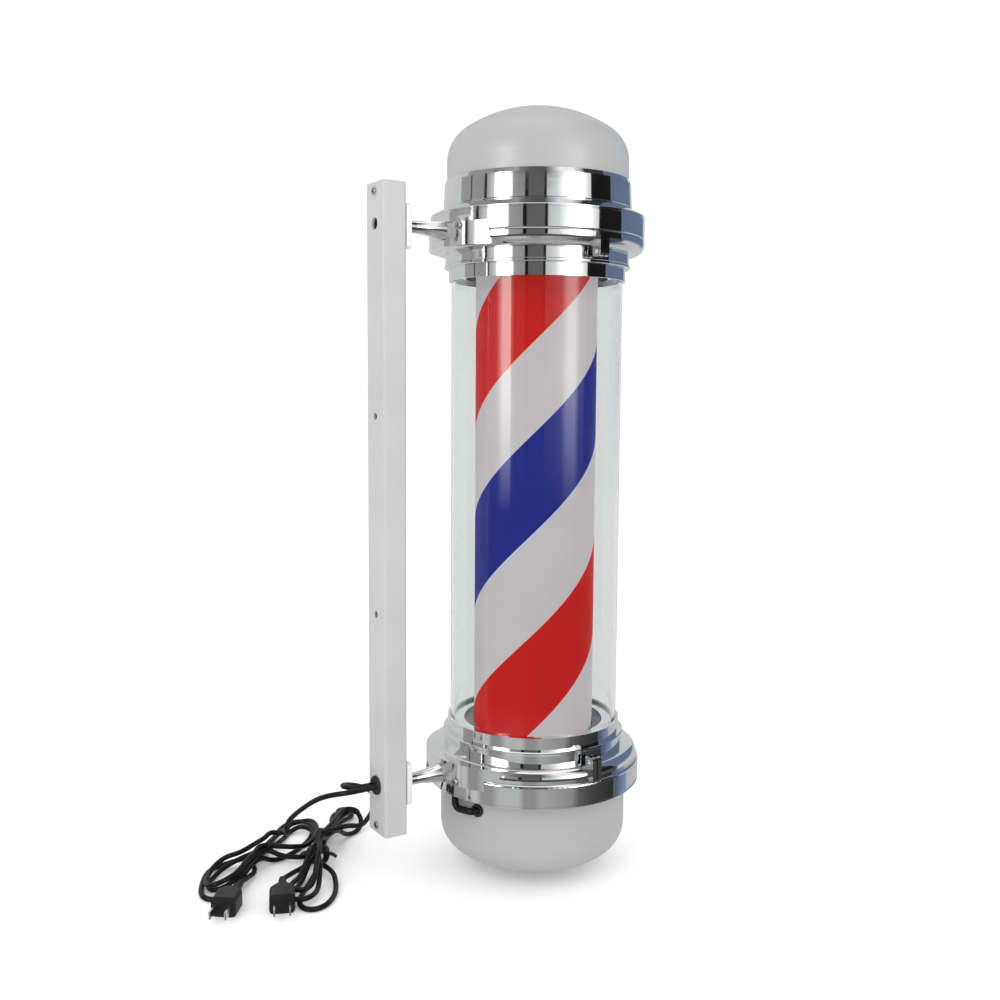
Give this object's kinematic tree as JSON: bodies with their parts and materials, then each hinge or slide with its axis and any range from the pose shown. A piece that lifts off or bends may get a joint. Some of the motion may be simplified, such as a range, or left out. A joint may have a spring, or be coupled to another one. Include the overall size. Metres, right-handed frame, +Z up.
{
  "type": "barber pole light",
  "caption": "Wall-mounted barber pole: a lit striped drum turns in a clear tube between flanged chrome collars and domed ends, held off a wall bar on clamped arms and fed by mains cords.",
  "frame": {"origin": "centre of the two wall-screw holes, on the back face of the wall bar", "axes": "+Y into the wall, so the pole stands out along -Y; +Z up, along the pole; +X to the right as seen by someone facing the wall"},
  "size_m": [0.2841, 0.3912, 0.6721],
  "materials": {
    "bar_paint": "satin",
    "white_enamel": "satin",
    "chrome": "polished",
    "silver_paint": "satin metallic",
    "zinc": "plated",
    "black_plastic": "matte",
    "black_rubber": "matte",
    "clear_acrylic": "polished",
    "stripe_film": "printed stripes",
    "white_acrylic": "opal",
    "white_plastic": "moulded",
    "motor_steel": "zinc plated",
    "shaft_steel": "ground",
    "brass": "machined",
    "nickel": "nickel plated",
    "acetal": "moulded",
    "lamp_opal": "opal",
    "board_white": "matte",
    "lead_pvc": "satin"
  },
  "bodies": {
    "frame": {"wall_bar": "bar_paint", "bar_top_cap": "bar_paint", "bar_bottom_cap": "bar_paint", "bar_end_screws": "zinc", "cord_grommet": "black_rubber", "upper_mount_plate": "white_enamel", "lower_mount_plate": "white_enamel", "plate_screws": "zinc", "upper_arm": "chrome", "lower_arm": "chrome", "upper_clamp": "chrome", "lower_clamp": "chrome", "clamp_screws": "zinc", "pad_screws": "zinc", "upper_collar": "chrome", "lower_collar": "chrome", "clear_tube": "clear_acrylic", "upper_tube_seal": "black_rubber", "lower_tube_seal": "black_rubber", "upper_band": "chrome", "upper_dome": "silver_paint", "lower_dome": "silver_paint", "dome_screws": "zinc", "lead_grommet": "black_rubber", "motor_plate": "motor_steel", "end_plate_screws": "zinc", "motor_gearbox": "motor_steel", "motor_body": "motor_steel", "motor_screws": "zinc", "terminal_block": "white_plastic", "lamp_plate": "motor_steel", "lamp_stem": "white_plastic", "lamp_holder": "white_plastic", "lamp_cap": "brass", "lamp_tube": "lamp_opal", "lamp_board": "board_white", "lamp_lead": "lead_pvc", "motor_lead": "lead_pvc", "lamp_cord": "lead_pvc", "motor_cord": "lead_pvc", "lamp_cord_hank": "lead_pvc", "motor_cord_hank": "lead_pvc", "lamp_plug": "black_plastic", "lamp_plug_pins": "nickel", "motor_plug": "black_plastic", "motor_plug_pins": "nickel"},
    "drum": {"drum_cylinder": "white_acrylic", "drum_film": "stripe_film", "drum_top_disc": "white_acrylic", "drum_bottom_disc": "white_acrylic", "drum_top_bush": "acetal", "drum_hub": "acetal", "hub_set_screw": "zinc", "motor_shaft": "shaft_steel", "output_gear": "brass"}
  },
  "joints": [
    {"name": "drum_spin", "type": "hinge", "parent": "frame", "child": "drum", "pos_m": [0, -0.158, 0.004], "axis": [0, 0, 1], "continuous": true}
  ]
}
